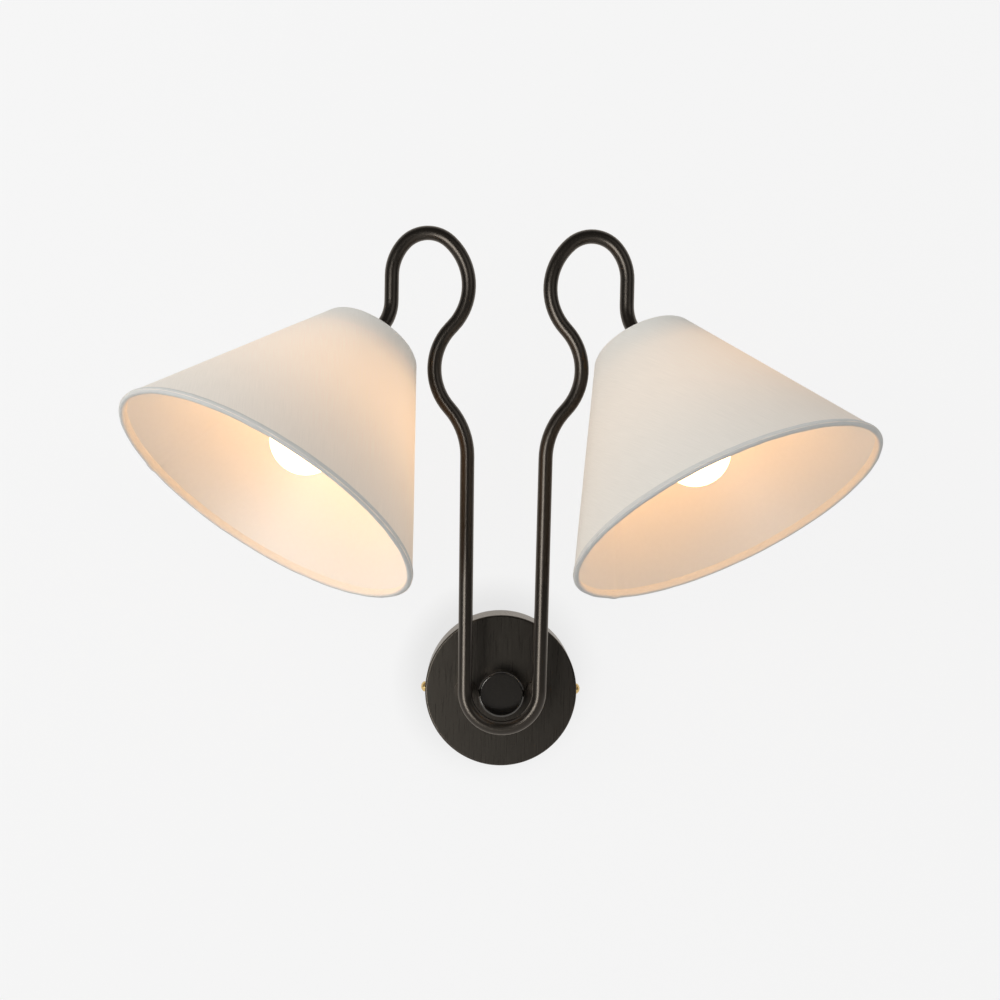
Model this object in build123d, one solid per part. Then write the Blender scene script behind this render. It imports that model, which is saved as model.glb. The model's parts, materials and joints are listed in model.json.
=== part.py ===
from build123d import *
import math
import os

# Double arm wall sconce, in millimetres.
# Origin: centre of the canopy on the wall plane. +Z is up, +X is to the right
# as seen from the room, and -Y points from the wall into the room.

# ---------------------------------------------------------------- canopy
canopy_radius = 63.5
canopy_depth = 35.0
canopy_wall = 1.2
canopy_edge_fillet = 1.6

# ---------------------------------------------------------------- wall bracket
bracket_thickness = 2.0
bracket_width = 20.0
bracket_hub_radius = 14.0
wire_entry_radius = 8.0
bracket_tab_clearance = 1.5
bracket_tab_width = 16.0
bracket_tab_depth = 26.0
box_slot_spacing = 79.4
box_slot_length = 14.2
box_slot_width = 4.6
ground_screw_x = 19.0
ground_screw_radius = 2.0
ground_head_across_flats = 7.0
ground_head_height = 2.4
ground_washer_radius = 4.4
ground_washer_thickness = 0.8

# ---------------------------------------------------------------- side screws
side_screw_y = -20.0
side_screw_radius = 1.94
side_thread_radius = 2.0
side_screw_clearance_radius = 2.4
side_head_radius = 4.3
side_head_rim = 1.2
side_head_height = 3.6
side_head_gap = 0.3
side_screw_reach = 4.8
side_slot_width = 0.9
side_slot_depth = 0.9

# ---------------------------------------------------------------- arm tube
tube_radius = 5.7
tube_wall = 1.2
tube_stand_off = 76.0
loop_radius = 30.0
loop_rise = 7.5
arm_splay = 0.4
arm_run = 188.0
waist_bend_radius = 58.0
waist_bend_angle = 42.0
bulge_bend_radius = 47.0
bulge_bend_angle = 85.0
neck_run = 2.2
hook_inner_radius = 47.0
hook_inner_angle = 90.5
hook_top_radius = 25.5
hook_top_angle = 91.8
hook_outer_radius = 38.8
hook_drop_run = 19.4
end_bend_radius = 30.0
end_run_to_shade = 19.0
end_run_in_shade = 16.0
shade_lean = 25.0
shade_splay = {"left": 30.2, "right": 24.3}

# ---------------------------------------------------------------- posts
post_radius = 5.0
post_bore_radius = 3.4
post_flange_radius = 9.0
post_flange_thickness = 2.5
post_thread_radius = 4.9
post_thread_length = 9.5
post_hole_clearance = 0.2
post_nut_across_flats = 14.0
post_nut_height = 3.0
post_washer_radius = 8.5
post_washer_thickness = 0.8

# ---------------------------------------------------------------- switch and knob
knob_radius = 19.0
knob_front = 18.0
knob_gap = 1.5
knob_fillet = 2.2
knob_pocket_radius = 9.6
knob_pocket_depth = 5.0
shaft_radius = 3.0
shaft_clearance = 0.05
shaft_flat = 0.8
shaft_tip_cover = 2.5
shaft_end_gap = 0.3
bushing_radius = 4.9
bushing_length = 7.0
switch_body_radius = 11.0
switch_body_depth = 15.0
switch_nut_across_flats = 13.0
switch_nut_height = 2.2
switch_hole_clearance = 0.2

# ---------------------------------------------------------------- wiring
lead_radius = 2.0
lead_bend_radius = 8.0
lead_end_y = -15.0
connector_mouth_radius = 4.6
connector_tip_radius = 2.8
connector_length = 10.5

# ---------------------------------------------------------------- lampholder (heights run down the shade axis)
nipple_clearance = 0.05
nipple_bore_radius = 3.0
nipple_grip = 10.0
holder_gap = 0.3
cap_neck_radius = 7.0
cap_neck_length = 8.0
cap_radius = 19.5
cap_wall = 1.2
cap_skirt = 12.0
cap_nut_across_flats = 13.0
cap_nut_height = 2.6
sleeve_wall = 2.0
sleeve_spigot = 6.5
sleeve_length = 42.0
sleeve_ledge_height = 1.4
sleeve_ledge_width = 3.0
sleeve_shoulder_radius = 22.0
sleeve_shoulder_height = 2.0
sleeve_shoulder_drop = 14.0
core_height = 12.0
core_bore_radius = 2.4
shell_wall = 0.5
shell_bore_radius = 13.2
shell_length = 24.0
shell_window_radius = 6.5
contact_width = 5.0
contact_length = 10.0
contact_thickness = 0.6
contact_button_radius = 2.0
contact_button_height = 0.9
fitter_thickness = 1.2
fitter_clearance = 0.5
fitter_radius = 27.0
shade_ring_radius = 23.6
shade_ring_height = 8.0
shade_ring_grips = 24
shade_ring_grip_radius = 0.8

# ---------------------------------------------------------------- bulb
bulb_globe_radius = 27.0
bulb_glass_wall = 0.9
bulb_neck_radius = 12.4
bulb_neck_blend = 9.0
bulb_length = 85.0
bulb_base_radius = 13.1
bulb_base_length = 22.0
bulb_base_wall = 0.5
bulb_base_cone = 2.2
bulb_base_cone_radius = 9.4
bulb_tip_radius = 2.6
bulb_tip_height = 1.4
bulb_insulator_radius = 5.0
bulb_insulator_height = 2.2

# ---------------------------------------------------------------- shade
shade_top_radius = 40.0
shade_bottom_radius = 125.0
shade_slant = 180.0
fabric_thickness = 0.8
liner_thickness = 0.5
glue_line = 0.05
ring_wire_radius = 1.1
ring_wire_clearance = 0.1
hem_thickness = 0.5
hem_height = 5.0
spider_arms = 3

canopy_face_y = -canopy_depth
canopy_inner_face_y = canopy_face_y + canopy_wall
tube_plane_y = -tube_stand_off
tube_bore_radius = tube_radius - tube_wall
post_x = loop_radius
shade_height = math.sqrt(shade_slant**2 - (shade_bottom_radius - shade_top_radius) ** 2)
sides = {"left": -1, "right": 1}
cut_margin = 1.0

os.makedirs("parts", exist_ok=True)


def save(shape, name):
    """Write one named piece."""
    shape.label = name
    export_step(shape, f"parts/{name}.step")


def cylinder_along(start, direction, radius, length):
    """A solid round bar from a start point along a direction."""
    plane = Plane(origin=start, z_dir=direction)
    return plane * Cylinder(radius, length, align=(Align.CENTER, Align.CENTER, Align.MIN))


def hexagon_along(start, direction, across_flats, length):
    """A solid hexagonal bar from a start point along a direction."""
    plane = Plane(origin=start, z_dir=direction)
    profile = RegularPolygon(across_flats / 2, 6, major_radius=False)
    return extrude(plane * profile, length)


def group(solids):
    """Several separate solids of one kind in one piece."""
    return Compound(children=list(solids))


def turned(points):
    """A solid of revolution about Z from a closed outline of (radius, height) points."""
    outline = Polyline(*[(radius, 0, height) for radius, height in points], close=True)
    return revolve(make_face(outline), Axis.Z)


# ---------------------------------------------------------------- paths
def bend(start, heading, toward, radius, angle):
    """One arc of a bent tube. Returns its edge, end point, end heading and inward direction."""

    def point(turn):
        return start + toward * (radius * (1 - math.cos(turn))) + heading * (radius * math.sin(turn))

    turn = math.radians(angle)
    edge = ThreePointArc(start, point(turn / 2), point(turn))
    end_heading = heading * math.cos(turn) + toward * math.sin(turn)
    end_toward = toward * math.cos(turn) - heading * math.sin(turn)
    return edge, point(turn), end_heading, end_toward


def shade_axis(side):
    """Unit vector from a shade's small end to its mouth."""
    lean = math.radians(shade_lean)
    splay = math.radians(shade_splay[side])
    return Vector(
        sides[side] * math.sin(splay) * math.cos(lean),
        -math.sin(lean),
        -math.cos(splay) * math.cos(lean),
    )


def arm_heading(side):
    """Direction in which an arm leaves the bottom loop."""
    splay = math.radians(arm_splay)
    return Vector(sides[side] * math.sin(splay), 0, math.cos(splay))


def arm_edges(side, start, first_run):
    """Edges of one arm's centre line from a start point up to the tube's end, and that end point."""
    heading = arm_heading(side)
    outward = Vector(sides[side] * heading.Z, 0, -abs(heading.X))
    hook_outer_angle = (
        180 - arm_splay - waist_bend_angle + bulge_bend_angle - hook_inner_angle - hook_top_angle
    )
    edges = []
    point = start
    bends = (
        (first_run, waist_bend_radius, waist_bend_angle, 1),
        (0, bulge_bend_radius, bulge_bend_angle, -1),
        (neck_run, hook_inner_radius, hook_inner_angle, 1),
        (0, hook_top_radius, hook_top_angle, 1),
        (0, hook_outer_radius, hook_outer_angle, 1),
    )
    for run, radius, angle, turn_out in bends:
        if run:
            edges.append(Line(point, point + heading * run))
            point = point + heading * run
        edge, point, heading, toward = bend(point, heading, outward * turn_out, radius, angle)
        outward = toward * turn_out
        edges.append(edge)

    edges.append(Line(point, point + heading * hook_drop_run))
    point = point + heading * hook_drop_run
    axis = shade_axis(side)
    end_angle = heading.get_angle(axis)
    toward = (axis - heading * heading.dot(axis)).normalized()
    edge, point, heading, _ = bend(point, heading, toward, end_bend_radius, end_angle)
    edges.append(edge)
    end_run = end_run_to_shade + end_run_in_shade
    edges.append(Line(point, point + axis * end_run))
    return edges, point + axis * end_run


def loop_side(side):
    """Where an arm leaves the bottom loop."""
    return Vector(sides[side] * loop_radius, tube_plane_y, loop_rise)


def shade_plane(side):
    """Plane of a shade's small end: local Z runs down the shade's axis."""
    _, tube_end = arm_edges(side, loop_side(side), arm_run)
    axis = shade_axis(side)
    return Plane(origin=tube_end - axis * end_run_in_shade, x_dir=(0, 1, 0), z_dir=axis)


# ---------------------------------------------------------------- wall side
def make_wall_bracket():
    """Crossbar that is screwed to the wall box, with two threaded end tabs for the canopy."""
    tab_outer_x = canopy_radius - canopy_wall - bracket_tab_clearance
    along_y = (Align.CENTER, Align.MAX, Align.CENTER)
    bar = Box(2 * tab_outer_x, bracket_thickness, bracket_width, align=along_y)
    hub = cylinder_along((0, 0, 0), (0, -1, 0), bracket_hub_radius, bracket_thickness)
    bracket = bar + hub
    tab_x = tab_outer_x - bracket_thickness / 2
    for sign in sides.values():
        tab = Box(bracket_thickness, bracket_tab_depth, bracket_tab_width, align=along_y)
        bracket += Pos(sign * tab_x, 0, 0) * tab
    bracket -= cylinder_along((0, 0, 0), (0, -1, 0), wire_entry_radius, bracket_thickness)
    for sign in sides.values():
        hole = cylinder_along((0, side_screw_y, 0), (sign, 0, 0), side_thread_radius, canopy_radius)
        bracket -= hole
        slot_plane = Plane(origin=(sign * box_slot_spacing / 2, 0, 0), x_dir=(1, 0, 0), z_dir=(0, -1, 0))
        bracket -= extrude(slot_plane * SlotOverall(box_slot_length, box_slot_width), bracket_thickness)
    bracket -= cylinder_along((ground_screw_x, 0, 0), (0, -1, 0), ground_screw_radius, bracket_thickness)
    return bracket


def make_ground_screw():
    """Hexagon-headed earth screw with its washer."""
    face_y = -bracket_thickness
    shank = cylinder_along((ground_screw_x, 0, 0), (0, -1, 0), ground_screw_radius, bracket_thickness)
    washer = cylinder_along(
        (ground_screw_x, face_y, 0), (0, -1, 0), ground_washer_radius, ground_washer_thickness
    )
    head_y = face_y - ground_washer_thickness
    head = hexagon_along(
        (ground_screw_x, head_y, 0), (0, -1, 0), ground_head_across_flats, ground_head_height
    )
    return shank + washer + head


def make_canopy():
    """Round drum that covers the wall box, open towards the wall."""
    drum = cylinder_along((0, 0, 0), (0, -1, 0), canopy_radius, canopy_depth)
    drum = fillet(drum.edges().sort_by(Axis.Y)[0], canopy_edge_fillet)
    inside = canopy_depth - canopy_wall
    drum -= cylinder_along((0, 0, 0), (0, -1, 0), canopy_radius - canopy_wall, inside)
    for sign in sides.values():
        drum -= cylinder_along(
            (0, side_screw_y, 0), (sign, 0, 0), side_screw_clearance_radius, canopy_radius + cut_margin
        )
        drum -= cylinder_along(
            (sign * post_x, 0, 0), (0, -1, 0), post_thread_radius + post_hole_clearance, canopy_depth
        )
    drum -= cylinder_along((0, 0, 0), (0, -1, 0), bushing_radius + switch_hole_clearance, canopy_depth)
    return drum


def make_side_screw(sign):
    """Slotted brass screw that holds the canopy to one tab of the bracket."""
    seat = canopy_radius + side_head_gap
    tab_inner = canopy_radius - canopy_wall - bracket_tab_clearance - bracket_thickness
    start = tab_inner - side_screw_reach
    rim = seat + side_head_rim
    crown = seat + side_head_height
    rise = crown - rim
    dome_radius = (side_head_radius**2 + rise**2) / (2 * rise)
    half_angle = math.asin(side_head_radius / dome_radius) / 2
    dome_middle = (dome_radius * math.sin(half_angle), 0, crown - dome_radius * (1 - math.cos(half_angle)))
    outline = Wire(
        [
            Line((0, 0, start), (side_screw_radius, 0, start)),
            Line((side_screw_radius, 0, start), (side_screw_radius, 0, seat)),
            Line((side_screw_radius, 0, seat), (side_head_radius, 0, seat)),
            Line((side_head_radius, 0, seat), (side_head_radius, 0, rim)),
            ThreePointArc((side_head_radius, 0, rim), dome_middle, (0, 0, crown)),
            Line((0, 0, crown), (0, 0, start)),
        ]
    )
    screw = revolve(make_face(outline), Axis.Z)
    screw -= Pos(0, 0, crown) * Box(3 * side_head_radius, side_slot_width, 2 * side_slot_depth)
    return Plane(origin=(0, side_screw_y, 0), z_dir=(sign, 0, 0)) * screw


# ---------------------------------------------------------------- arms
def tube_path():
    """Centre line of the whole bent tube, from the left end round the bottom loop to the right end."""
    left_edges, _ = arm_edges("left", loop_side("left"), arm_run)
    right_edges, _ = arm_edges("right", loop_side("right"), arm_run)
    loop = ThreePointArc(
        loop_side("left"), (0, tube_plane_y, loop_rise - loop_radius), loop_side("right")
    )
    return Wire([*left_edges, loop, *right_edges])


def swept_round(path, radius):
    """A round bar along a path."""
    start = path.position_at(0)
    plane = Plane(origin=start, z_dir=path.tangent_at(0))
    return sweep(plane * Circle(radius), path=path)


def make_arm_tube(path):
    """The one bent steel tube that makes the bottom loop, both arms and both hooks."""
    tube = swept_round(path, tube_radius) - swept_round(path, tube_bore_radius)
    for sign in sides.values():
        tube -= cylinder_along(
            (sign * post_x, tube_plane_y, 0), (0, 1, 0), post_bore_radius, tube_radius + cut_margin
        )
    return tube


def make_post(side, tube_solid):
    """Hollow stand-off between canopy and tube, with a flange outside and a thread inside."""
    x = sides[side] * post_x
    length = tube_stand_off - canopy_depth
    post = cylinder_along((x, canopy_face_y, 0), (0, -1, 0), post_radius, length)
    post += cylinder_along((x, canopy_face_y, 0), (0, -1, 0), post_flange_radius, post_flange_thickness)
    post += cylinder_along((x, canopy_face_y, 0), (0, 1, 0), post_thread_radius, post_thread_length)
    post -= tube_solid
    inner_end = (x, canopy_face_y + post_thread_length, 0)
    post -= cylinder_along(inner_end, (0, -1, 0), post_bore_radius, length + post_thread_length)
    return post.solids().sort_by(SortBy.VOLUME)[-1]


def make_post_washers():
    """Washers under the nuts of both posts."""
    return group(
        cylinder_along(
            (sign * post_x, canopy_inner_face_y, 0), (0, 1, 0), post_washer_radius, post_washer_thickness
        )
        - cylinder_along(
            (sign * post_x, canopy_inner_face_y, 0),
            (0, 1, 0),
            post_thread_radius + post_hole_clearance,
            post_washer_thickness,
        )
        for sign in sides.values()
    )


def make_post_nuts():
    """Nuts that clamp both posts to the canopy."""
    seat_y = canopy_inner_face_y + post_washer_thickness
    return group(
        hexagon_along((sign * post_x, seat_y, 0), (0, 1, 0), post_nut_across_flats, post_nut_height)
        - cylinder_along((sign * post_x, seat_y, 0), (0, 1, 0), post_thread_radius, post_nut_height)
        for sign in sides.values()
    )


# ---------------------------------------------------------------- switch
def make_rotary_switch():
    """Switch body behind the canopy's face, with its threaded bushing through the face."""
    body = cylinder_along((0, canopy_inner_face_y, 0), (0, 1, 0), switch_body_radius, switch_body_depth)
    body += cylinder_along((0, canopy_inner_face_y, 0), (0, -1, 0), bushing_radius, bushing_length)
    bore_length = bushing_length + switch_body_depth / 2
    bore_start = (0, canopy_inner_face_y - bushing_length, 0)
    body -= cylinder_along(bore_start, (0, 1, 0), shaft_radius + shaft_clearance, bore_length)
    return body


def make_switch_nut():
    """Nut on the bushing, hidden in the knob's pocket."""
    seat = (0, canopy_face_y, 0)
    nut = hexagon_along(seat, (0, -1, 0), switch_nut_across_flats, switch_nut_height)
    return nut - cylinder_along(seat, (0, -1, 0), bushing_radius, switch_nut_height)


def shaft_solid(radius, flat, start_y, end_y):
    """A round shaft along Y with one flat on its upper side."""
    shaft = cylinder_along((0, start_y, 0), (0, -1, 0), radius, start_y - end_y)
    cutter = Pos(0, start_y, radius - flat) * Box(
        2 * radius, 2 * (start_y - end_y), radius, align=(Align.CENTER, Align.CENTER, Align.MIN)
    )
    return shaft - cutter


def make_switch_shaft():
    """Turning shaft of the switch, flatted where the knob sits on it."""
    inner_y = canopy_inner_face_y + switch_body_depth / 2 - shaft_end_gap
    collar_y = canopy_inner_face_y - bushing_length
    tip_y = canopy_face_y - knob_front + shaft_tip_cover
    plain = cylinder_along((0, inner_y, 0), (0, -1, 0), shaft_radius, inner_y - collar_y)
    return plain + shaft_solid(shaft_radius, shaft_flat, collar_y, tip_y)


def make_switch_knob():
    """Round knob with a softened front edge and a pocket over the switch nut."""
    back_y = canopy_face_y - knob_gap
    front_y = canopy_face_y - knob_front
    knob = cylinder_along((0, back_y, 0), (0, -1, 0), knob_radius, back_y - front_y)
    knob = fillet(knob.edges().sort_by(Axis.Y)[0], knob_fillet)
    knob -= cylinder_along((0, back_y, 0), (0, -1, 0), knob_pocket_radius, knob_pocket_depth)
    tip_y = front_y + shaft_tip_cover
    knob -= shaft_solid(shaft_radius + shaft_clearance, shaft_flat, back_y, tip_y - shaft_clearance)
    return knob


# ---------------------------------------------------------------- wiring
def make_lead(side):
    """Two-core lead from the canopy through a post and the tube to the lampholder."""
    x = sides[side] * post_x
    start = Vector(x, lead_end_y, 0)
    turn_start = Vector(x, tube_plane_y + lead_bend_radius, 0)
    heading = arm_heading(side)
    arc, point, _, _ = bend(turn_start, Vector(0, -1, 0), heading, lead_bend_radius, 90)
    first_run = arm_run + loop_rise - lead_bend_radius
    edges, end = arm_edges(side, point, first_run)
    axis = shade_axis(side)
    reach = cap_top() + cap_wall + cap_nut_height - end_run_in_shade
    edges.append(Line(end, end + axis * reach))
    path = Wire([Line(start, turn_start), arc, *edges])
    return swept_round(path, lead_radius)


def make_wire_connectors():
    """Twist-on connectors that join both leads to the supply."""
    solids = []
    for sign in sides.values():
        cone = Cone(
            connector_mouth_radius,
            connector_tip_radius,
            connector_length,
            align=(Align.CENTER, Align.CENTER, Align.MIN),
        )
        plane = Plane(origin=(sign * post_x, lead_end_y, 0), z_dir=(0, 1, 0))
        solids.append(plane * cone)
    return group(solids)


# ---------------------------------------------------------------- lampholder, in the shade's own frame
def cap_top():
    """Height of the top face of the lampholder cap's cup."""
    return end_run_in_shade + holder_gap + cap_neck_length


def core_top():
    """Height of the top face of the insulating core."""
    return cap_top() + cap_wall + cap_nut_height + 2 * holder_gap


def core_bottom():
    """Height of the core's lower face, which carries the contacts."""
    return core_top() + core_height


def sleeve_step():
    """Height where the sleeve widens to meet the cap's skirt."""
    return cap_top() + cap_skirt + holder_gap


def shoulder_bottom():
    """Height of the shoulder face that the shade's fitter is clamped against."""
    return cap_top() + cap_skirt + sleeve_shoulder_drop


def bulb_top():
    """Height of the bulb's centre contact."""
    return core_bottom() + contact_thickness + contact_button_height + holder_gap


def make_nipple():
    """Threaded tube that joins the arm to the lampholder cap."""
    radius = tube_bore_radius - nipple_clearance
    top = end_run_in_shade - nipple_grip
    bottom = cap_top() + cap_wall + cap_nut_height
    return turned(
        [(nipple_bore_radius, top), (radius, top), (radius, bottom), (nipple_bore_radius, bottom)]
    )


def make_socket_cap():
    """Painted metal cup that covers the top of the lampholder."""
    neck_top = end_run_in_shade + holder_gap
    top = cap_top()
    bottom = top + cap_skirt
    return turned(
        [
            (tube_bore_radius, neck_top),
            (cap_neck_radius, neck_top),
            (cap_neck_radius, top),
            (cap_radius, top),
            (cap_radius, bottom),
            (cap_radius - cap_wall, bottom),
            (cap_radius - cap_wall, top + cap_wall),
            (tube_bore_radius, top + cap_wall),
        ]
    )


def make_cap_nut():
    """Nut on the nipple inside the cap."""
    seat = (0, 0, cap_top() + cap_wall)
    nut = hexagon_along(seat, (0, 0, 1), cap_nut_across_flats, cap_nut_height)
    return nut - cylinder_along(seat, (0, 0, 1), tube_bore_radius, cap_nut_height)


def make_socket_sleeve():
    """Threaded outer sleeve of the lampholder, with a shoulder for the shade's fitter."""
    spigot_radius = cap_radius - cap_wall - holder_gap
    bore_radius = spigot_radius - sleeve_wall / 2
    step = sleeve_step()
    top = step - sleeve_spigot
    bottom = top + sleeve_length
    ledge_top = core_bottom() + holder_gap
    ledge_bottom = ledge_top + sleeve_ledge_height
    shoulder_bottom_height = shoulder_bottom()
    shoulder_top = shoulder_bottom_height - sleeve_shoulder_height
    return turned(
        [
            (bore_radius, top),
            (spigot_radius, top),
            (spigot_radius, step),
            (cap_radius, step),
            (cap_radius, shoulder_top),
            (sleeve_shoulder_radius, shoulder_top),
            (sleeve_shoulder_radius, shoulder_bottom_height),
            (cap_radius, shoulder_bottom_height),
            (cap_radius, bottom),
            (cap_radius - sleeve_wall, bottom),
            (cap_radius - sleeve_wall, ledge_bottom),
            (bore_radius - sleeve_ledge_width, ledge_bottom),
            (bore_radius - sleeve_ledge_width, ledge_top),
            (bore_radius, ledge_top),
        ]
    )


def make_socket_core():
    """Ceramic core that carries the contacts and takes the lead."""
    radius = cap_radius - cap_wall - holder_gap - sleeve_wall / 2 - holder_gap
    top = core_top()
    core = turned([(0, top), (radius, top), (radius, core_bottom()), (0, core_bottom())])
    for sign in sides.values():
        screw_hole = cylinder_along((sign * radius / 2, 0, top), (0, 0, 1), core_bore_radius, core_height)
        core -= screw_hole
    return core


def make_screw_shell():
    """Thin metal shell that the bulb's base screws into."""
    top = core_bottom()
    bottom = top + shell_length
    outer = shell_bore_radius + shell_wall
    return turned(
        [
            (shell_window_radius, top),
            (outer, top),
            (outer, bottom),
            (shell_bore_radius, bottom),
            (shell_bore_radius, top + shell_wall),
            (shell_window_radius, top + shell_wall),
        ]
    )


def make_centre_contact():
    """Springy strip with a button that the bulb's tip touches."""
    top = core_bottom()
    strip = Pos(0, 0, top) * Box(
        contact_length, contact_width, contact_thickness, align=(Align.CENTER, Align.CENTER, Align.MIN)
    )
    return strip + cylinder_along(
        (0, 0, top + contact_thickness), (0, 0, 1), contact_button_radius, contact_button_height
    )


def make_shade_ring():
    """Threaded ring with a gripped edge that holds the shade's fitter."""
    top = shoulder_bottom() + fitter_thickness + 2 * holder_gap
    bottom = top + shade_ring_height
    bore = cap_radius + nipple_clearance
    ring = turned([(bore, top), (shade_ring_radius, top), (shade_ring_radius, bottom), (bore, bottom)])
    for index in range(shade_ring_grips):
        angle = 2 * math.pi * index / shade_ring_grips
        centre = (shade_ring_radius * math.cos(angle), shade_ring_radius * math.sin(angle), top)
        ring -= cylinder_along(centre, (0, 0, 1), shade_ring_grip_radius, shade_ring_height)
    return ring


# ---------------------------------------------------------------- bulb, in the shade's own frame
def make_bulb_contact():
    """Solder tip and its insulating ring at the end of the bulb's base."""
    top = bulb_top()
    insulator_top = top + bulb_tip_height
    return turned(
        [
            (0, top),
            (bulb_tip_radius / 2, top),
            (bulb_tip_radius, insulator_top),
            (bulb_insulator_radius, insulator_top),
            (bulb_base_cone_radius - bulb_base_wall, insulator_top + bulb_insulator_height),
            (0, insulator_top + bulb_insulator_height),
        ]
    )


def bulb_base_top():
    """Height where the metal base starts."""
    return bulb_top() + bulb_tip_height + bulb_insulator_height


def make_bulb_base():
    """Metal screw base of the bulb."""
    top = bulb_base_top()
    shoulder = top + bulb_base_cone
    bottom = top + bulb_base_length
    inner = bulb_base_radius - bulb_base_wall
    return turned(
        [
            (0, top),
            (bulb_base_cone_radius, top),
            (bulb_base_radius, shoulder),
            (bulb_base_radius, bottom),
            (inner, bottom),
            (inner, shoulder + bulb_base_wall),
            (0, shoulder + bulb_base_wall),
        ]
    )


def globe_profile(globe_radius, neck_radius, blend, neck_top, centre):
    """Half outline of a globe with a neck, as edges from the neck's top to the far pole."""
    reach = globe_radius + blend
    offset = neck_radius + blend
    blend_height = centre - math.sqrt(reach**2 - offset**2)
    touch = Vector(offset, 0, blend_height) + (
        Vector(0, 0, centre) - Vector(offset, 0, blend_height)
    ).normalized() * blend
    blend_middle_direction = (Vector(-1, 0, 0) + (touch - Vector(offset, 0, blend_height)) * (1 / blend))
    blend_middle = Vector(offset, 0, blend_height) + blend_middle_direction.normalized() * blend
    neck_end = Vector(neck_radius, 0, blend_height)
    globe_middle = Vector(globe_radius, 0, centre)
    pole = Vector(0, 0, centre + globe_radius)
    return [
        Line((neck_radius, 0, neck_top), neck_end),
        ThreePointArc(neck_end, blend_middle, touch),
        ThreePointArc(touch, globe_middle, pole),
    ]


def make_bulb_globe():
    """Frosted glass globe, one thin closed shell open only at its neck."""
    centre = bulb_top() + bulb_length - bulb_globe_radius
    neck_top = bulb_base_top() + bulb_base_length - bulb_base_cone
    outer = globe_profile(bulb_globe_radius, bulb_neck_radius, bulb_neck_blend, neck_top, centre)
    inner = globe_profile(
        bulb_globe_radius - bulb_glass_wall,
        bulb_neck_radius - bulb_glass_wall,
        bulb_neck_blend + bulb_glass_wall,
        neck_top,
        centre,
    )
    ends = [
        Line((bulb_neck_radius, 0, neck_top), (bulb_neck_radius - bulb_glass_wall, 0, neck_top)),
        Line((0, 0, centre + bulb_globe_radius), (0, 0, centre + bulb_globe_radius - bulb_glass_wall)),
    ]
    return revolve(make_face(Wire([*outer, *inner, *ends])), Axis.Z)


# ---------------------------------------------------------------- shade, in its own frame
def on_slant(along, depth):
    """(radius, height) of a point a distance along the slant and a depth inside the outer face."""
    spread = (shade_bottom_radius - shade_top_radius) / shade_slant
    drop = shade_height / shade_slant
    return (
        shade_top_radius + along * spread - depth * drop,
        along * drop + depth * spread,
    )


def slanted_band(start, end, outer_depth, inner_depth):
    """A conical band between two places on the slant and two depths under its outer face."""
    return turned(
        [
            on_slant(start, outer_depth),
            on_slant(end, outer_depth),
            on_slant(end, inner_depth),
            on_slant(start, inner_depth),
        ]
    )


liner_depth = fabric_thickness + glue_line
wire_depth = liner_depth + liner_thickness + ring_wire_clearance + ring_wire_radius
hem_inner_depth = wire_depth + ring_wire_radius + ring_wire_clearance
hem_inset = hem_thickness + glue_line


def make_shade_fabric():
    """Woven cover of the shade."""
    return slanted_band(hem_inset, shade_slant - hem_inset, hem_inset, hem_inset + fabric_thickness)


def make_shade_liner():
    """Stiff translucent liner that the cover is bonded to."""
    outer_depth = hem_inset + liner_depth
    return slanted_band(hem_inset, shade_slant - hem_inset, outer_depth, outer_depth + liner_thickness)


def make_hem(edge, direction):
    """Folded tape round one rim, over the cover, the wire ring and the liner."""
    inner = hem_inset + hem_inner_depth
    lip = edge + direction * hem_thickness
    outside_end = edge + direction * hem_height
    return turned(
        [
            on_slant(edge, 0),
            on_slant(outside_end, 0),
            on_slant(outside_end, hem_thickness),
            on_slant(lip, hem_thickness),
            on_slant(lip, inner),
            on_slant(outside_end, inner),
            on_slant(outside_end, inner + hem_thickness),
            on_slant(edge, inner + hem_thickness),
        ]
    )


def wire_ring(along):
    """A round wire hoop just inside the liner."""
    radius, height = on_slant(along, hem_inset + wire_depth)
    return Pos(0, 0, height) * Torus(radius, ring_wire_radius), radius, height


def top_hoop():
    """Wire hoop in the hem of the shade's small end, with its radius and height."""
    return wire_ring(hem_inset + ring_wire_clearance + ring_wire_radius)


def spider_rods(radius):
    """Sloping rods from the top hoop down to the fitter washer."""
    _, hoop_radius, hoop_height = top_hoop()
    foot_radius = fitter_radius - ring_wire_radius
    foot_height = shoulder_bottom() + holder_gap + fitter_thickness / 2
    rods = []
    for index in range(spider_arms):
        angle = 2 * math.pi * (index + 0.5) / spider_arms
        direction = Vector(math.cos(angle), math.sin(angle), 0)
        top = direction * hoop_radius + Vector(0, 0, hoop_height)
        foot = direction * foot_radius + Vector(0, 0, foot_height)
        rods.append(cylinder_along(top, foot - top, radius, (foot - top).length))
    return rods


def make_shade_spider():
    """Welded top hoop, sloping rods and fitter washer that carry the shade on the lampholder."""
    hoop, _, _ = top_hoop()
    washer_top = shoulder_bottom() + holder_gap
    washer_bore = cap_radius + fitter_clearance
    washer_bottom = washer_top + fitter_thickness
    spider = hoop + turned(
        [
            (washer_bore, washer_top),
            (fitter_radius, washer_top),
            (fitter_radius, washer_bottom),
            (washer_bore, washer_bottom),
        ]
    )
    for rod in spider_rods(ring_wire_radius):
        spider += rod
    return spider


def make_shade_top_hem():
    """Top hem tape, slit where the spider's rods leave the hoop."""
    hem = make_hem(0, 1)
    for slit in spider_rods(ring_wire_radius + ring_wire_clearance):
        hem -= slit
    return hem


def make_shade_bottom_hoop():
    """Wire hoop in the hem of the shade's mouth."""
    hoop, _, _ = wire_ring(shade_slant - hem_inset - ring_wire_clearance - ring_wire_radius)
    return hoop


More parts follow.
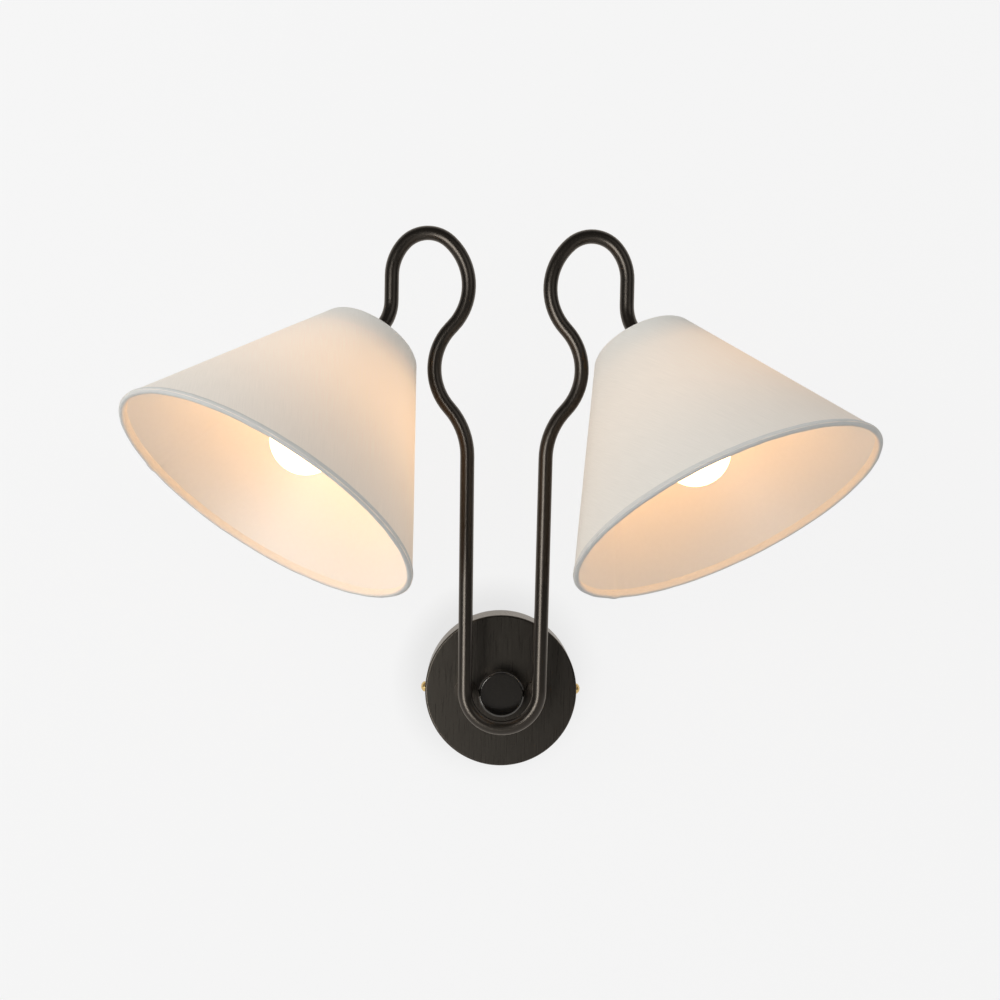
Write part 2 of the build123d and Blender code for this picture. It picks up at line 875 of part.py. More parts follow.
# ---------------------------------------------------------------- the whole sconce
def main():
    path = tube_path()
    tube_solid = swept_round(path, tube_radius)
    expected = math.pi * tube_radius**2 * path.length
    print("tube length", round(path.length, 1), "volume ratio", round(tube_solid.volume / expected, 5))

    save(make_wall_bracket(), "wall_bracket")
    save(make_ground_screw(), "ground_screw")
    save(make_canopy(), "canopy")
    save(make_arm_tube(path), "arm_tube")
    save(make_post_washers(), "post_washers")
    save(make_post_nuts(), "post_nuts")
    save(make_rotary_switch(), "rotary_switch")
    save(make_switch_nut(), "switch_nut")
    save(make_switch_shaft(), "switch_shaft")
    save(make_switch_knob(), "switch_knob")
    save(make_wire_connectors(), "wire_connectors")

    framed = {
        "lampholder_nipple": make_nipple(),
        "lampholder_cap": make_socket_cap(),
        "cap_nut": make_cap_nut(),
        "lampholder_sleeve": make_socket_sleeve(),
        "lampholder_core": make_socket_core(),
        "screw_shell": make_screw_shell(),
        "centre_contact": make_centre_contact(),
        "shade_ring": make_shade_ring(),
        "bulb_contact": make_bulb_contact(),
        "bulb_base": make_bulb_base(),
        "bulb_globe": make_bulb_globe(),
        "shade_fabric": make_shade_fabric(),
        "shade_liner": make_shade_liner(),
        "shade_top_hem": make_shade_top_hem(),
        "shade_bottom_hem": make_hem(shade_slant, -1),
        "shade_spider": make_shade_spider(),
        "shade_bottom_hoop": make_shade_bottom_hoop(),
    }
    for side, sign in sides.items():
        save(make_side_screw(sign), f"{side}_side_screw")
        save(make_post(side, tube_solid), f"{side}_post")
        save(make_lead(side), f"{side}_lead")
        plane = shade_plane(side)
        print(side, "shade top centre", plane.origin, "axis", plane.z_dir)
        for name, solid in framed.items():
            save(plane * solid, f"{side}_{name}")


main()
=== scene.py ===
import json
import math

import bpy
from mathutils import Matrix, Vector, noise


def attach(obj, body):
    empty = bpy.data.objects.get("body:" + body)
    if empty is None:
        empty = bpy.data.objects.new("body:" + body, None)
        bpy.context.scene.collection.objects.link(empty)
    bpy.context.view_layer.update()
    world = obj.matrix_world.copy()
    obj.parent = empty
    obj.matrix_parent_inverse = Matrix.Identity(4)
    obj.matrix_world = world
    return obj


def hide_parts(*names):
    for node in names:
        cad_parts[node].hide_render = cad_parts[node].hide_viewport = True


# A wall light with two looped tube arms and two tilted fabric shades, in metres.
sides = ("left", "right")

# ---------------------------------------------------------------- shade sizes
shade_top_radius = 0.040
shade_bottom_radius = 0.125
shade_slant = 0.180
shade_columns = 288
sharp_edge = math.radians(50.0)

cover_depth = 0.00055
cover_thickness = 0.0008
cover_rows = 64
cover_curl = 0.0032
curl_turn = math.radians(115.0)
curl_steps = 9
liner_depth = 0.0014
liner_thickness = 0.0005
liner_rows = 16

seam_turn = math.radians(130.0)
seam_overlap = 0.008
seam_ramp = 0.007
seam_taper = 0.008
seam_edge_share = 0.05
lap_gap = 0.00005
lap_columns = 3
lap_steps = 12

ripple_height = 0.00012
ripple_pace = 2.2
ripple_stretch = 14.0
ripple_fade = 0.02
ripple_seed_step = 7.0
ripple_seed_start = 3.0

# ---------------------------------------------------------------- hem sizes
hem_wall = 0.0005
hem_clearance = 0.00003
hem_edge = 0.00015
hem_roll_steps = 16
hem_tape_end_turn = math.radians(127.0)
hem_tape_end_width = 0.006
hem_swell = 0.00018
hem_crease = 0.00006
hem_waver = 0.0003
hem_swell_pace = 9.0
hem_crease_pace = 4.0
hem_waver_pace = 1.7
hem_rims_apart = 30.0

# A roll has a depth through the wall, an inset from the rim, a leg of cloth on each face, a step and
# a rise at the outer leg's end, and a lump where its own end is lapped.
mouth_roll = {
    "depth": 0.0048,
    "inset": 0.0,
    "outer_leg": 0.0044,
    "inner_leg": 0.0066,
    "step": 0.0004,
    "proud": 0.00015,
    "lump": 0.0005,
}
small_roll = {
    "depth": 0.0042,
    "inset": 0.0015,
    "outer_leg": 0.0024,
    "inner_leg": 0.0090,
    "step": 0.0001,
    "proud": 0.0,
    "lump": 0.0,
}

# ---------------------------------------------------------------- bulb light
globe_drop = 0.1005
globe_radius = 0.027
bulb_colour = (1.0, 0.54, 0.21)
bulb_strength = 6.4
# Painted light: the shades' cloth and mouth hems glow by emission that stands in for the bulb light through them,
# with more on each shade's +X side.
shade_glow = {"left": 0.275, "right": 0.222}
glow_colour = (1.0, 0.50, 0.16)
painted_glow_side_lean = 0.8
glow_fall = 1.6
glow_shadow_height = 0.036
painted_lip_glow = 0.17
lip_start = 0.66
lip_fade = 0.25

# ---------------------------------------------------------------- surface detail
# Grains are noise cells in a metre, and reliefs are heights in metres.
noise_range = (0.3, 0.7)
streak_grains = 800.0
streak_stretch = (1.0, 1.0, 0.05)
peel_grains = 1400.0
drawn_grains = 1500.0
drawn_stretch = (1.0, 0.15, 1.0)
worn_grains = 700.0
skin_grains = 1100.0
frost_grains = 500.0
fibre_grains = 260.0
cloudy_grains = 45.0
nap_share = 0.8
fine_relief = 0.0002
cloth_relief = 0.0003
band_relief = 0.0006
thread_pitch = 0.00363
wave_radians = 20.0

# ---------------------------------------------------------------- stage, light and camera
stage_side = 6.0
stage_top = 4.0
floor_level = -1.4
wall_gap = 0.0006
wall_tone = 0.80
wall_white = 0.87
wall_shadow = 0.06
# Painted shadow: close to the object the wall's seen white falls by this share, which ambient occlusion finds
# within a reach along a leaned normal.
painted_contact_shade = 0.88
painted_shade_reach = 0.032
painted_shade_start = 0.5
painted_shade_lean = {"X": 0.35, "Y": -0.85, "Z": -0.40}
room_light = 0.45
room_reflected = 0.14
arms_middle = (0.0, -0.1, 0.2)
canopy_front = (0.0, -0.1, 0.0)
camera_place = (-0.0260, -1.1000, 0.2021)
camera_yaw = math.radians(-1.2)
camera_pitch = math.radians(-2.267)
camera_roll = math.radians(-1.074)
camera_lens = 46.07
camera_sensor = 36.0

# What a shade's cone gains in radius and in height for each metre along its slant.
spread = (shade_bottom_radius - shade_top_radius) / shade_slant
drop = math.sqrt(1.0 - spread**2)

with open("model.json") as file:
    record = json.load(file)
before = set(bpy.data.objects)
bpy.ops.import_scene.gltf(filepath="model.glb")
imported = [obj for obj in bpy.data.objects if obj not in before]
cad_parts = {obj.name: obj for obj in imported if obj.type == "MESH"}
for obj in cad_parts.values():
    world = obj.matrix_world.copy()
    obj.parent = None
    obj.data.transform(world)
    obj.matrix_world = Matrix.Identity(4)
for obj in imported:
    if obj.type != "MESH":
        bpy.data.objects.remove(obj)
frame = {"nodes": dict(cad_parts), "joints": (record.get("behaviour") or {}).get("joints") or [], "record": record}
nodes = frame["nodes"]
scene = bpy.context.scene


def write_size():
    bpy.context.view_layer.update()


write_size()


# ---------------------------------------------------------------- shader helpers
def emptied(tree):
    """Clear a node tree and give a function that adds nodes to it."""
    tree.nodes.clear()

    def node(kind, inputs=None, **settings):
        made = tree.nodes.new(kind)
        for key, value in settings.items():
            setattr(made, key, value)
        for key, value in (inputs or {}).items():
            if isinstance(value, bpy.types.NodeSocket):
                tree.links.new(value, made.inputs[key])
            else:
                made.inputs[key].default_value = value
        return made

    return node


def material(name):
    """An empty node material and a function that adds nodes to it."""
    mat = bpy.data.materials.new(name)
    mat.use_nodes = True
    return mat, emptied(mat.node_tree)


def show(node, surface):
    """Plug a shader into the material's output."""
    node("ShaderNodeOutputMaterial", {"Surface": surface})


def grey(level):
    """A neutral colour."""
    return (level, level, level, 1.0)


def combined(node, operation, first, second):
    """One value from two, by an operation's name."""
    return node("ShaderNodeMath", {0: first, 1: second}, operation=operation).outputs["Value"]


def ranged(node, value, before, after):
    """A value carried from one (low, high) range to another."""
    inputs = {"Value": value, "From Min": before[0], "From Max": before[1]}
    inputs |= {"To Min": after[0], "To Max": after[1]}
    return node("ShaderNodeMapRange", inputs).outputs["Result"]


def stretched(node, where, scales):
    """Coordinates scaled by a different amount along each axis."""
    return node("ShaderNodeMapping", {"Vector": where, "Scale": scales}).outputs["Vector"]


def grain(node, where, scale, detail=3.0):
    """Noise values round 0.5 at a number of grains a metre."""
    return node("ShaderNodeTexNoise", {"Vector": where, "Scale": scale, "Detail": detail}).outputs["Fac"]


def between(node, value, low, high):
    """Noise values stretched to lie between two numbers."""
    return ranged(node, value, noise_range, (low, high))


def about(node, value, mean, swing):
    """Noise values stretched to swing by a share to both sides of a mean."""
    return between(node, value, mean * (1.0 - swing), mean * (1.0 + swing))


def tinted(node, value, dark, light):
    """A colour between two, by a noise value."""
    inputs = {"Factor": between(node, value, 0.0, 1.0)}
    mix = node("ShaderNodeMix", inputs, data_type="RGBA")
    mix.inputs["A"].default_value = (*dark, 1.0)
    mix.inputs["B"].default_value = (*light, 1.0)
    return mix.outputs["Result"]


def bumped(node, height, strength, distance, under=None):
    """A normal that follows a height."""
    inputs = {"Height": height, "Strength": strength, "Distance": distance}
    if under is not None:
        inputs["Normal"] = under
    return node("ShaderNodeBump", inputs).outputs["Normal"]


def principled(node, **inputs):
    """The general shader, with its inputs by name."""
    named = {key.replace("_", " "): value for key, value in inputs.items()}
    return node("ShaderNodeBsdfPrincipled", named).outputs["BSDF"]


# ---------------------------------------------------------------- materials
def bronze_coat(name, dark, light, roughness, coat, coat_roughness, texture):
    """Blackened bronze coat: faint upright streaks and fine peel, warm where it is seen edge on."""
    mat, node = material(name)
    where = node("ShaderNodeTexCoord").outputs["Object"]
    streaks = grain(node, stretched(node, where, streak_stretch), streak_grains, detail=4.0)
    peel = grain(node, where, peel_grains, detail=2.0)
    normal = bumped(node, streaks, strength=texture, distance=fine_relief)
    normal = bumped(node, peel, strength=texture, distance=fine_relief, under=normal)
    shader = principled(
        node,
        Base_Color=tinted(node, streaks, dark, light),
        Metallic=0.4,
        Roughness=about(node, streaks, roughness, swing=0.1),
        Specular_Tint=(1.0, 0.80, 0.58, 1.0),
        Coat_Weight=coat,
        Coat_Roughness=coat_roughness,
        Normal=normal,
    )
    show(node, shader)
    return mat


def bare_metal(name, dark, light, roughness):
    """Plated or solid metal with fine drawn grain."""
    mat, node = material(name)
    where = node("ShaderNodeTexCoord").outputs["Object"]
    drawn = grain(node, stretched(node, where, drawn_stretch), drawn_grains)
    shader = principled(
        node,
        Base_Color=tinted(node, drawn, dark, light),
        Metallic=1.0,
        Roughness=about(node, drawn, roughness, swing=0.25),
        Normal=bumped(node, drawn, strength=0.15, distance=fine_relief),
    )
    show(node, shader)
    return mat


def rolled_metal(name, dark, light):
    """Thin worn metal with soft bands along Z, one radian of wave to each turn of the lamp thread."""
    mat, node = material(name)
    where = node("ShaderNodeTexCoord").outputs["Object"]
    wave = {"Vector": where, "Scale": 1.0 / (thread_pitch * wave_radians), "Distortion": 0.0}
    bands = node("ShaderNodeTexWave", wave, bands_direction="Z").outputs["Fac"]
    worn = grain(node, where, worn_grains)
    shader = principled(
        node,
        Base_Color=tinted(node, worn, dark, light),
        Metallic=1.0,
        Roughness=between(node, worn, low=0.22, high=0.38),
        Normal=bumped(node, bands, strength=0.5, distance=band_relief),
    )
    show(node, shader)
    return mat


def moulded(name, dark, light, roughness):
    """Moulded plastic, rubber or ceramic with a fine skin."""
    mat, node = material(name)
    where = node("ShaderNodeTexCoord").outputs["Object"]
    skin = grain(node, where, skin_grains)
    shader = principled(
        node,
        Base_Color=tinted(node, skin, dark, light),
        Roughness=about(node, skin, roughness, swing=0.1),
        Normal=bumped(node, skin, strength=0.12, distance=fine_relief),
    )
    show(node, shader)
    return mat


def lit_glass():
    """Frosted glass of a lit globe."""
    mat, node = material("lit_glass")
    where = node("ShaderNodeTexCoord").outputs["Object"]
    frost = grain(node, where, frost_grains)
    shader = principled(
        node,
        Base_Color=tinted(node, frost, dark=(0.86, 0.84, 0.80), light=(0.92, 0.90, 0.86)),
        Roughness=between(node, frost, low=0.28, high=0.40),
        Emission_Color=(*bulb_colour, 1.0),
        Emission_Strength=bulb_strength,
    )
    show(node, shader)
    return mat


def woven(name, dark, light, warp=1500.0, slub=0.03):
    """Plain-woven cloth in its flat cut's coordinates, with painted light from behind: emission set by its glow
    attribute.
    """
    mat, node = material(name)
    flat = node("ShaderNodeUVMap", uv_map="cut").outputs["UV"]
    upright = grain(node, stretched(node, flat, (1.0, slub, 1.0)), warp)
    across = grain(node, stretched(node, flat, (slub, 1.0, 1.0)), warp)
    nap = grain(node, flat, warp * nap_share, detail=2.0)
    cloudy = grain(node, flat, cloudy_grains, detail=2.0)
    threads = combined(node, "ADD", upright, across)
    weave = combined(node, "ADD", threads, nap)
    mean = combined(node, "DIVIDE", weave, 3.0)
    tone = {"Factor": 0.15, "A": upright, "B": cloudy}
    uneven_tone = node("ShaderNodeMix", tone, data_type="FLOAT").outputs["Result"]
    glow = node("ShaderNodeAttribute", attribute_name="glow").outputs["Fac"]
    uneven = between(node, upright, low=0.95, high=1.05)
    shader = principled(
        node,
        Base_Color=tinted(node, uneven_tone, dark, light),
        Roughness=0.95,
        Specular_IOR_Level=0.15,
        Normal=bumped(node, mean, strength=0.20, distance=cloth_relief),
        Emission_Color=(*glow_colour, 1.0),
        Emission_Strength=combined(node, "MULTIPLY", glow, uneven),
    )
    show(node, shader)
    return mat


def backing():
    """Smooth off-white stiffener behind the cloth."""
    mat, node = material("backing")
    flat = node("ShaderNodeUVMap", uv_map="cut").outputs["UV"]
    fibres = grain(node, flat, fibre_grains, detail=5.0)
    shader = principled(
        node,
        Base_Color=tinted(node, fibres, dark=(0.855, 0.820, 0.760), light=(0.870, 0.835, 0.775)),
        Roughness=between(node, fibres, low=0.50, high=0.62),
        Normal=bumped(node, fibres, strength=0.04, distance=cloth_relief),
    )
    show(node, shader)
    return mat


finishes = {
    "black_steel": bronze_coat(
        "black_steel",
        dark=(0.0080, 0.0063, 0.0049),
        light=(0.0108, 0.0086, 0.0068),
        roughness=0.31,
        coat=0.35,
        coat_roughness=0.30,
        texture=0.003,
    ),
    "canopy_coat": bronze_coat(
        "canopy_coat",
        dark=(0.0135, 0.0134, 0.0128),
        light=(0.0190, 0.0189, 0.0181),
        roughness=0.29,
        coat=0.10,
        coat_roughness=0.28,
        texture=0.04,
    ),
    "black_knob": bronze_coat(
        "black_knob",
        dark=(0.0080, 0.0079, 0.0075),
        light=(0.0100, 0.0098, 0.0093),
        roughness=0.20,
        coat=1.0,
        coat_roughness=0.12,
        texture=0.004,
    ),
    "zinc_steel": bare_metal("zinc_steel", (0.50, 0.50, 0.49), (0.62, 0.62, 0.60), roughness=0.35),
    "brass": bare_metal("brass", (0.62, 0.42, 0.16), (0.78, 0.58, 0.26), roughness=0.25),
    "solder": bare_metal("solder", (0.42, 0.42, 0.42), (0.55, 0.55, 0.55), roughness=0.45),
    "shell_metal": rolled_metal("shell_metal", (0.60, 0.50, 0.28), (0.74, 0.64, 0.40)),
    "bulb_metal": rolled_metal("bulb_metal", (0.60, 0.60, 0.58), (0.72, 0.72, 0.70)),
    "black_resin": moulded("black_resin", (0.014, 0.014, 0.014), (0.022, 0.022, 0.022), roughness=0.42),
    "cable_sheath": moulded("cable_sheath", (0.02, 0.02, 0.02), (0.03, 0.03, 0.03), roughness=0.55),
    "connector_cap": moulded("connector_cap", (0.62, 0.17, 0.02), (0.72, 0.22, 0.03), roughness=0.38),
    "ceramic_core": moulded("ceramic_core", (0.74, 0.72, 0.66), (0.82, 0.80, 0.74), roughness=0.50),
    "frame_wire": moulded("frame_wire", (0.70, 0.69, 0.66), (0.78, 0.77, 0.74), roughness=0.40),
    "earth_green": moulded("earth_green", (0.04, 0.25, 0.06), (0.07, 0.34, 0.10), roughness=0.40),
    "bulb_glass": lit_glass(),
    "linen": woven("linen", (0.800, 0.785, 0.735), (0.840, 0.825, 0.775)),
    "hem_tape": woven("hem_tape", (0.67, 0.665, 0.64), (0.75, 0.745, 0.715), warp=1800.0, slub=0.1),
    "liner": backing(),
}
for row in frame["record"]["subparts"]:
    finish = "canopy_coat" if row["node"] == "canopy" else row["material_slot"]
    mesh = nodes[row["node"]].data
    mesh.materials.clear()
    mesh.materials.append(finishes[finish])


# ---------------------------------------------------------------- shade shapes
def shade_place(side):
    """Matrix of a shade's small end: local Z runs down its axis and local X leans to the room."""
    joint = next(j for j in frame["joints"] if j["name"] == f"{side}_shade_turn")
    down = Vector(joint["axis"]).normalized()
    room = Vector((0.0, -1.0, 0.0))
    front = (room - down * room.dot(down)).normalized()
    turn = Matrix((front, down.cross(front), down)).transposed()
    return Matrix.Translation(Vector(joint["pos_m"])) @ turn.to_4x4()


shade_places = {side: shade_place(side) for side in sides}


def on_slant(along, depth):
    """(radius, height) of a point a distance along the slant and a depth inside the outer face."""
    return shade_top_radius + along * spread - depth * drop, along * drop + depth * spread


def flat_cut(turn, along):
    """A point of the shade's cloth in its flat cut, a sector of a ring."""
    reach = shade_top_radius / spread + along
    return reach * math.sin(turn * spread), reach * math.cos(turn * spread)


def eased(value):
    """A value held between 0 and 1, with soft ends."""
    held = min(max(value, 0.0), 1.0)
    return held * held * (3.0 - 2.0 * held)


def painted_cloth_light(side, turn, radius, height):
    """Painted light: emission that stands in for bulb light through a shade's cloth, by its distance, its slant
    and its side.

    Painted shade: no glow is given beside the lampholder, which shades the small end.
    """
    away = Vector((radius, height - globe_drop))
    facing = max(away.normalized().dot(Vector((drop, -spread))), 0.0)
    normal = Vector((drop * math.cos(turn), drop * math.sin(turn), -spread))
    outward = shade_places[side].to_3x3() @ normal
    # Painted light: the glow is made stronger on the side of each shade that faces +X.
    lean = 1.0 + painted_glow_side_lean * outward.x
    clear = eased(height / glow_shadow_height)
    near = (globe_radius / away.length) ** glow_fall
    return shade_glow[side] * bulb_strength * lean * clear * facing * near


def painted_lip_light(over):
    """Painted light: emission for bulb light caught by a hem on its inner face, by how far round its roll it is.
    """
    return painted_lip_glow * eased((over / math.pi - lip_start) / lip_fade)


def banded(name, side, turns, section, finish, closed):
    """A band round a shade. section(turn) gives its closed outline's (along, depth, cut, glow) points."""
    verts, faces, cuts, glows = [], [], [], []
    stations = [section(turn) for turn in turns]
    ring = len(stations[0])
    for turn, points in zip(turns, stations):
        for along, depth, _, glow in points:
            radius, height = on_slant(along, depth)
            verts.append((radius * math.cos(turn), radius * math.sin(turn), height))
            glows.append(glow)
    if closed:
        verts, glows = verts[:-ring], glows[:-ring]
    count = len(verts)
    for column in range(len(turns) - 1):
        here = column * ring
        there = (column + 1) * ring % count if closed else (column + 1) * ring
        first, second = stations[column], stations[column + 1]
        for row in range(ring):
            after = (row + 1) % ring
            faces.append((here + row, there + row, there + after, here + after))
            cuts += [first[row][2], second[row][2], second[after][2], first[after][2]]
    if not closed:
        faces.append(tuple(range(ring)))
        faces.append(tuple(reversed(range(count - ring, count))))
        cuts += [point[2] for point in stations[0]] + [point[2] for point in reversed(stations[-1])]
    mesh = bpy.data.meshes.new(name)
    mesh.from_pydata(verts, [], faces)
    layer = mesh.uv_layers.new(name="cut")
    for loop, cut in zip(layer.data, cuts):
        loop.uv = cut
    glow = mesh.attributes.new("glow", "FLOAT", "POINT")
    for item, value in zip(glow.data, glows):
        item.value = value
    mesh.materials.append(finishes[finish])
    mesh.transform(shade_places[side])
    mesh.shade_smooth()
    mesh.set_sharp_from_angle(angle=sharp_edge)
    mesh.validate()
    band = bpy.data.objects.new(name, mesh)
    scene.collection.objects.link(band)
    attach(band, f"{side}_shade")
    return band


def lapped(turn, along, thickness):
    """How far a lapped sheet's outer end stands out near its seam."""
    radius, _ = on_slant(along, 0.0)
    past = (turn - seam_turn - math.tau) * radius + seam_ramp
    return (thickness + lap_gap) * eased(past / seam_ramp)


def sheet_turns():
    """Stations of a lapped sheet, from its seam once round and past it, closer together at the lap."""
    plain = shade_columns - lap_columns
    once = [seam_turn + math.tau * column / shade_columns for column in range(plain)]
    last = once[-1]
    end = seam_turn + math.tau + seam_overlap / shade_bottom_radius
    return once + [last + (end - last) * (step + 1) / lap_steps for step in range(lap_steps)]


def lapped_sheet(name, side, depth, thickness, rows, finish, curl=0.0):
    """A cone-shaped sheet between the two rims with one lapped seam, curled over the small rim's hoop."""
    start, end = cover_depth, shade_slant - cover_depth
    middle = (start + curl, depth + curl)
    seed = Vector((sides.index(side) * ripple_seed_step, 0.0, ripple_seed_start))
    bends = [curl_turn * (1.0 - step / curl_steps) for step in range(curl_steps)] if curl else []
    runs = [start + curl + (end - start - curl) * row / rows for row in range(rows + 1)]

    def curled(bend, radius):
        """(along, depth) of a point of the curl, by its bend past the slant and its radius."""
        return middle[0] - radius * math.sin(bend), middle[1] - radius * math.cos(bend)

    def rippled(turn, along):
        """How far the cloth's slight ripple lifts a point, growing from nothing at the curl."""
        way = Vector((math.cos(turn), math.sin(turn), along * ripple_stretch))
        grown = eased((along - start - curl) / ripple_fade)
        return ripple_height * noise.noise(way * ripple_pace + seed) * grown

    def section(turn):
        outer, inner = [], []
        into = (turn - seam_turn) * shade_bottom_radius / seam_taper
        wall = thickness * min(1.0, seam_edge_share + (1.0 - seam_edge_share) * into)
        around = turn - seam_turn - math.pi
        for bend in bends:
            radius = curl + lapped(turn, 0.0, thickness)
            shared = flat_cut(around, middle[0] - curl * bend), 0.0
            outer.append((*curled(bend, radius), *shared))
            inner.append((*curled(bend, radius - wall), *shared))
        for along in runs:
            lift = lapped(turn, along, thickness) + rippled(turn, along)
            shared = flat_cut(around, along), painted_cloth_light(side, turn, *on_slant(along, depth))
            outer.append((along, depth - lift, *shared))
            inner.append((along, depth - lift + wall, *shared))
        return outer + inner[::-1]

    return banded(name, side, sheet_turns(), section, finish, closed=False)


def hem(name, side, edge, inward, rolled):
    """Cloth rolled over the wire hoop of one rim, with its end lapped, and turned in to the stiffener."""
    middle = rolled["depth"] / 2.0
    core = middle - hem_wall
    centre = rolled["inset"] + middle
    rim = edge + inward * rolled["inset"]
    radius, _ = on_slant(edge, 0.0)
    face = max(cover_depth - hem_clearance, rolled["inset"])
    liner_face = liner_depth + liner_thickness
    apart = edge * hem_rims_apart + sides.index(side)

    def section(turn):
        away = abs(math.remainder(turn - hem_tape_end_turn, math.tau)) * radius
        lump = rolled["lump"] * max(0.0, 1.0 - (away / hem_tape_end_width) ** 2)
        way = Vector((math.cos(turn) * hem_swell_pace, math.sin(turn) * hem_swell_pace, apart))
        swell = lump + hem_swell * noise.noise(way) + hem_crease * noise.noise(way * hem_crease_pace)
        waver = hem_waver * noise.noise(way * hem_waver_pace)
        outer_end = rim + inward * (rolled["outer_leg"] + waver)
        inner_end = rim + inward * (rolled["inner_leg"] + waver)
        bend = rim + inward * (middle - swell)
        outside, inside = [], []
        for step in range(hem_roll_steps + 1):
            over = math.pi * step / hem_roll_steps
            reach, rise = math.sin(over), math.cos(over)
            along = bend - inward * (middle + swell / 2.0) * reach
            # Painted light: on the mouth's hem the inner part of the roll glows by emission.
            outside.append((along, centre - (middle + swell) * rise, painted_lip_light(over) if edge else 0.0))
            inside.append((bend - inward * core * reach, centre - core * rise, 0.0))
        # Painted light: the inner leg keeps the glow that the roll's end has.
        lit = outside[-1][2]
        shoulder = (outer_end - inward * rolled["step"], face - rolled["proud"], 0.0)
        outline = [(outer_end, face, 0.0), shoulder, *outside]
        outline += [(inner_end, liner_face + hem_edge, lit), (inner_end, liner_face + hem_clearance, lit)]
        outline += inside[::-1]
        length = 0.0
        points = []
        before = outline[0]
        for point in outline:
            length += math.dist(before[:2], point[:2])
            before = point
            points.append((*point[:2], (length, turn * radius), point[2]))
        return points

    turns = [math.tau * column / shade_columns for column in range(shade_columns + 1)]
    return banded(name, side, turns, section, "hem_tape", closed=True)


def dress_shade(side):
    """Cover, stiffener and both hems of one shade, in place of its plain pieces."""
    cover_size = (cover_depth, cover_thickness, cover_rows)
    liner_size = (liner_depth, liner_thickness, liner_rows)
    cover = lapped_sheet(f"{side}_cover", side, *cover_size, "linen", curl=cover_curl)
    liner = lapped_sheet(f"{side}_backing", side, *liner_size, "liner")
    mouth = hem(f"{side}_mouth_hem", side, edge=shade_slant, inward=-1.0, rolled=mouth_roll)
    small = hem(f"{side}_small_hem", side, edge=0.0, inward=1.0, rolled=small_roll)
    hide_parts(f"{side}_shade_fabric")
    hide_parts(f"{side}_shade_liner")
    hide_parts(f"{side}_shade_bottom_hem")
    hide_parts(f"{side}_shade_top_hem")


for side in sides:
    dress_shade(side)


# ---------------------------------------------------------------- stage
def stage_sheet(name, corners, surface_material):
    """One flat sheet of the studio."""
    mesh = bpy.data.meshes.new(name)
    mesh.from_pydata(corners, [], [(0, 1, 2, 3)])
    mesh.materials.append(surface_material)
    made = bpy.data.objects.new(name, mesh)
    scene.collection.objects.link(made)
    return made


def wall_paint():
    """Pale wall: seen as near white with the object's soft shadow, partly real from the lamps and partly a painted
    contact shadow by ambient occlusion, and clear from behind.
    """
    mat, node = material("wall_paint")
    path = node("ShaderNodeLightPath").outputs
    seen = combined(node, "MAXIMUM", path["Is Camera Ray"], path["Is Glossy Ray"])
    seen = combined(node, "MAXIMUM", seen, path["Is Transmission Ray"])
    plain = node("ShaderNodeBsdfDiffuse", {"Color": grey(wall_tone)}).outputs["BSDF"]
    shaded = node("ShaderNodeBsdfDiffuse", {"Color": grey(wall_shadow)}).outputs["BSDF"]
    # Painted shadow: the emission falls near the object by ambient occlusion, read along a normal leaned down and
    # to +X.
    toward = node("ShaderNodeCombineXYZ", painted_shade_lean).outputs["Vector"]
    nearby = {"Distance": painted_shade_reach, "Normal": toward}
    painted_shade_ao = node("ShaderNodeAmbientOcclusion", nearby).outputs["AO"]
    level = ranged(node, painted_shade_ao, (painted_shade_start, 1.0), (wall_white * painted_contact_shade, wall_white))
    white = node("ShaderNodeEmission", {"Color": grey(1.0), "Strength": level}).outputs["Emission"]
    bright = node("ShaderNodeAddShader", {0: shaded, 1: white}).outputs["Shader"]
    front = node("ShaderNodeMixShader", {"Fac": seen, 1: plain, 2: bright}).outputs["Shader"]
    behind = node("ShaderNodeNewGeometry").outputs["Backfacing"]
    clear = node("ShaderNodeBsdfTransparent").outputs["BSDF"]
    show(node, node("ShaderNodeMixShader", {"Fac": behind, 1: front, 2: clear}).outputs["Shader"])
    return mat


paint = wall_paint()
wall_foot = [(-stage_side, wall_gap, floor_level), (stage_side, wall_gap, floor_level)]
wall_head = [(stage_side, wall_gap, stage_top), (-stage_side, wall_gap, stage_top)]
floor_front = [(-stage_side, -stage_side, floor_level), (stage_side, -stage_side, floor_level)]
stage_sheet("wall", wall_foot + wall_head, paint)
stage_sheet("floor", floor_front + wall_foot[::-1], paint)


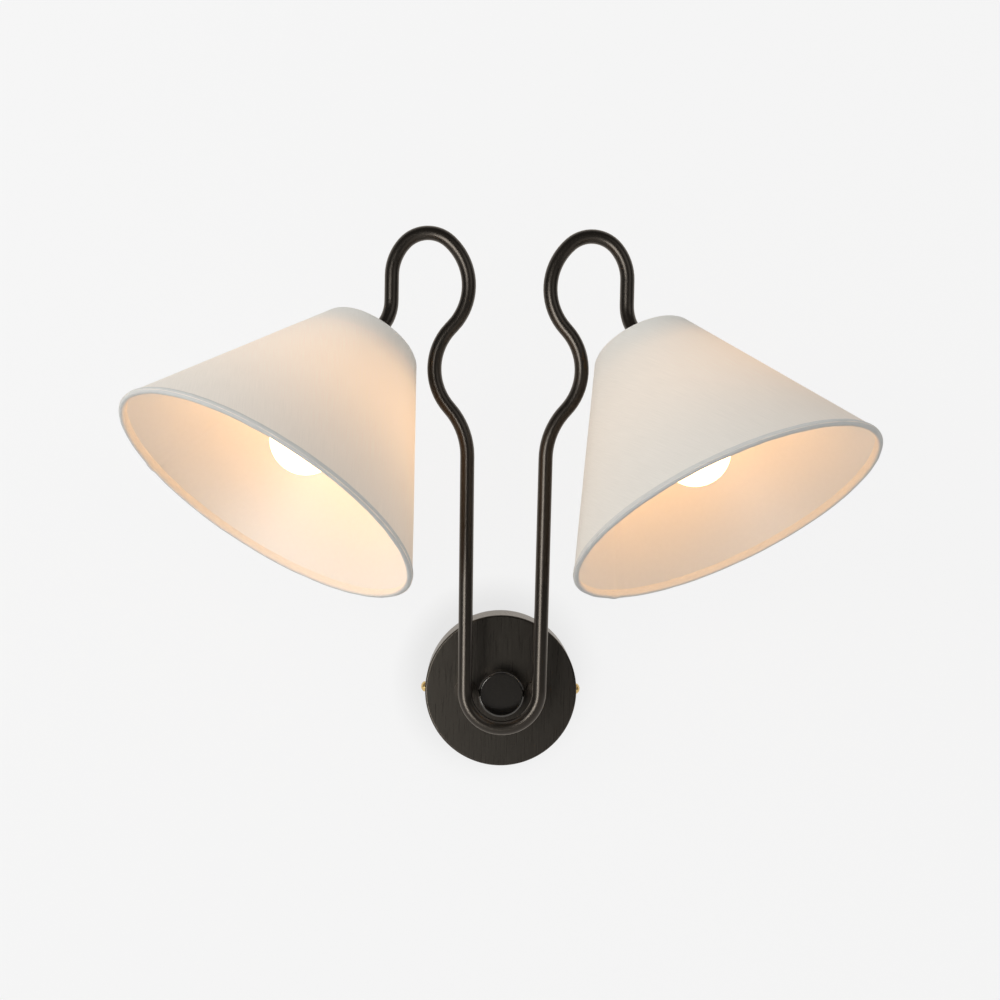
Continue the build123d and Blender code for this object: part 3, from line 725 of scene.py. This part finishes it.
# ---------------------------------------------------------------- light
def soft_box(name, place, target, size, power, colour):
    """A rectangular studio light aimed at a point."""
    data = bpy.data.lights.new(name, "AREA")
    data.shape = "RECTANGLE"
    data.size, data.size_y = size
    data.energy = power
    data.color = colour
    lamp = bpy.data.objects.new(name, data)
    lamp.location = place
    lamp.rotation_euler = (Vector(target) - Vector(place)).to_track_quat("-Z", "Y").to_euler()
    scene.collection.objects.link(lamp)
    return lamp


key = soft_box(
    "key",
    place=(-1.6, -1.2, 0.85),
    target=arms_middle,
    size=(0.8, 1.4),
    power=15.0,
    colour=(1.0, 0.99, 0.98),
)
strip = soft_box(
    "strip",
    place=(-0.85, -1.75, -0.20),
    target=canopy_front,
    size=(0.80, 1.4),
    power=38.0,
    colour=(0.97, 0.985, 1.0),
)
low = soft_box(
    "low",
    place=(-1.3, -1.1, -0.55),
    target=arms_middle,
    size=(0.9, 0.9),
    power=2.6,
    colour=(0.96, 0.98, 1.0),
)
soft_box(
    "fill",
    place=(1.3, -1.6, 0.95),
    target=arms_middle,
    size=(1.2, 1.2),
    power=4.6,
    colour=(0.98, 0.99, 1.0),
)
# The strip shows in reflections alone, and the key and the low light show in none.
key.visible_glossy = False
strip.visible_diffuse = False
low.visible_glossy = False

world = bpy.data.worlds.new("studio")
world.use_nodes = True
node = emptied(world.node_tree)
glossy = node("ShaderNodeLightPath").outputs["Is Glossy Ray"]
strength = ranged(node, glossy, (0.0, 1.0), (room_light, room_reflected))
room = node("ShaderNodeBackground", {"Color": grey(1.0), "Strength": strength}).outputs["Background"]
node("ShaderNodeOutputWorld", {"Surface": room})
scene.world = world

# ---------------------------------------------------------------- camera
camera_data = bpy.data.cameras.new("camera")
camera_data.sensor_width = camera_sensor
camera_data.lens = camera_lens
camera = bpy.data.objects.new("camera", camera_data)
yaw = Matrix.Rotation(camera_yaw, 3, "Z")
pitch = Matrix.Rotation(camera_pitch, 3, "X")
roll = Matrix.Rotation(camera_roll, 3, "Y")
turned = yaw @ pitch @ roll
view = Matrix((turned.col[0], turned.col[2], -turned.col[1])).transposed()
camera.matrix_world = Matrix.Translation(camera_place) @ view.to_4x4()
scene.collection.objects.link(camera)
scene.camera = camera
scene.view_settings.view_transform = "Standard"

write_size()
